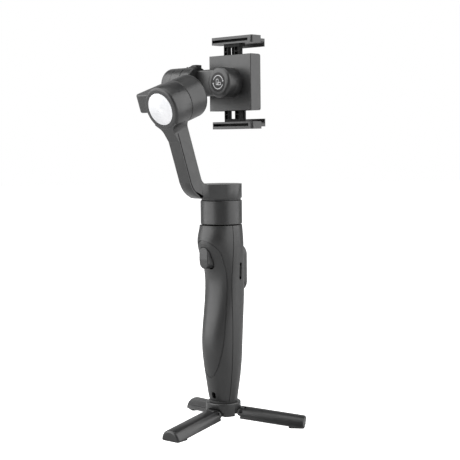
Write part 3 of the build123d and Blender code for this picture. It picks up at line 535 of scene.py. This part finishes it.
def cross_screw(name, place, body, radius=1.6):
    """Low domed screw head with a cross recess."""
    bm = bmesh.new()
    profile = [(radius, -0.3), (radius, 0.2), (radius * 0.86, 0.42), (radius * 0.5, 0.55),
               (radius * 0.18, 0.58)]
    turned_profile(bm, profile, 32)
    screw = smooth(new_piece(name, bm, STEEL, body, place))
    bm = bmesh.new()
    arm, half = radius * 0.58, radius * 0.13
    cross = [(half, arm), (-half, arm), (-half, half), (-arm, half), (-arm, -half), (-half, -half),
             (-half, -arm), (half, -arm), (half, -half), (arm, -half), (arm, half), (half, half)]
    plate(bm, cross, 0.12, 2.0)
    cutter = new_piece(name + "_cutter", bm, STEEL, body, place)
    cut = screw.modifiers.new("cross", "BOOLEAN")
    cut.object, cut.operation, cut.solver = cutter, "DIFFERENCE", "EXACT"
    bpy.context.view_layer.update()
    graph = bpy.context.evaluated_depsgraph_get()
    mesh = bpy.data.meshes.new_from_object(screw.evaluated_get(graph))
    screw.modifiers.clear()
    screw.data = mesh
    bpy.data.objects.remove(cutter)


def plate_screws():
    """A screw in each corner of the clamp's back plate."""
    low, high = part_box("clamp_back_plate")
    inset = 3.4 * MM
    for column, x in enumerate((low.x + inset, high.x - inset), start=1):
        for row, z in enumerate((low.z + inset, high.z - inset), start=1):
            place = facing((x, low.y, z), (1, 0, 0), (0, 0, 1))
            cross_screw(f"plate_screw_{column}{row}", place, "clamp")


swivel_symbol()
painted_seam_shade()
paint_slot_shade()
status_lenses()
button_marks()
plate_screws()
ribbed_pad("clamp_back_pad", "clamp", Vector((0, -1, 0)), 4.0, 1.2, 0.5)
ribbed_pad("upper_jaw_pad", "upper_jaw", Vector((0, 0, -1)), 1.6, 0.7, 0.4)
ribbed_pad("lower_jaw_pad", "lower_jaw", Vector((0, 0, 1)), 1.6, 0.7, 0.4)


# ---------------------------------------------------------------- stage, lights and camera

def stage_floor():
    """Round pale floor that the feet stand on."""
    mesh = bpy.data.meshes.new("floor")
    bm = bmesh.new()
    bmesh.ops.create_circle(bm, cap_ends=True, radius=6.0, segments=96)
    bm.to_mesh(mesh)
    bm.free()
    floor = bpy.data.objects.new("floor", mesh)
    floor.location.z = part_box("foot_pad_1")[0].z - 0.0001
    SCENE.collection.objects.link(floor)
    s = Shader("floor_paint")
    tone = s.noise(3, 2)
    s.link(s.mix(s.spread(tone, 0, 1), grey(0.42), grey(0.45)), s.bsdf.inputs["Base Color"])
    s.bsdf.inputs["Roughness"].default_value = 0.8
    s.bsdf.inputs["Specular IOR Level"].default_value = 0.1
    s.bsdf.inputs["Emission Color"].default_value = (1, 1, 1, 1)
    path = s.tree.nodes.new("ShaderNodeLightPath")
    glow = s.math("MULTIPLY", path.outputs["Is Camera Ray"], 0.95)
    s.link(s.math("ADD", glow, 0.30), s.bsdf.inputs["Emission Strength"])
    mesh.materials.append(s.material)


def softbox(name, place, target, size, power):
    light = bpy.data.lights.new(name, "AREA")
    light.shape = "RECTANGLE"
    light.size, light.size_y = size
    light.energy = power
    lamp = bpy.data.objects.new(name, light)
    lamp.location = place
    lamp.visible_camera = False
    lamp.rotation_euler = (Vector(target) - Vector(place)).to_track_quat("-Z", "Y").to_euler()
    SCENE.collection.objects.link(lamp)


def camera_axes(azimuth, pitch, roll):
    """Right, up and back directions of a camera, azimuth 0 looking along +Y."""
    a, p, r = (math.radians(v) for v in (azimuth, pitch, roll))
    forward = Vector((-math.sin(a) * math.cos(p), math.cos(a) * math.cos(p), -math.sin(p)))
    level = Vector((math.cos(a), math.sin(a), 0))
    upright = level.cross(forward)
    right = level * math.cos(r) + upright * math.sin(r)
    return right, right.cross(forward), -forward


stage_floor()
camera_data = bpy.data.cameras.new("camera")
camera_data.sensor_width = 36.0
camera_data.lens = 88.16
camera = bpy.data.objects.new("camera", camera_data)
RIGHT, UP, BACK = camera_axes(223.82, 4.475, -0.622)
turned = Matrix((RIGHT, UP, BACK)).transposed().to_4x4()
camera_place = Vector((AXIS_X - 0.7104, AXIS_Y + 0.7292, 0.2586))
camera.matrix_world = Matrix.Translation(camera_place) @ turned
SCENE.collection.objects.link(camera)
SCENE.camera = camera

MIDDLE = Vector((AXIS_X, AXIS_Y, 0.2))
LEVEL_BACK = Vector((BACK.x, BACK.y, 0)).normalized()


def around(sideways, towards, height):
    """A place given from the camera's seat: to its right, towards it, and above the floor."""
    place = MIDDLE + RIGHT * sideways + LEVEL_BACK * towards
    place.z = height
    return place


# Name, place, size and power: two large boxes at the sides, weak ones above and behind
LIGHTS = (
    ("left_box", around(-1.02, 0.25, 0.68), (1.9, 1.5), 35),
    ("right_box", around(1.02, 0.25, 0.66), (1.9, 1.5), 27),
    ("top_box", around(-0.1, 0.10, 1.35), (0.9, 0.9), 7),
    ("back_box", around(0.0, -1.1, 0.60), (2.2, 1.0), 4),
)
for name, place, size, power in LIGHTS:
    softbox(name, place, MIDDLE, size, power)

world = bpy.data.worlds.new("studio")
world.use_nodes = True
nodes, links = world.node_tree.nodes, world.node_tree.links
background = nodes["Background"]
path = nodes.new("ShaderNodeLightPath")
levels = nodes.new("ShaderNodeMapRange")
levels.inputs["To Min"].default_value = 0.08
levels.inputs["To Max"].default_value = 1.0
links.new(path.outputs["Is Camera Ray"], levels.inputs["Value"])
links.new(levels.outputs["Result"], background.inputs["Strength"])
background.inputs["Color"].default_value = (1, 1, 1, 1)
SCENE.world = world
SCENE.view_settings.view_transform = "Standard"
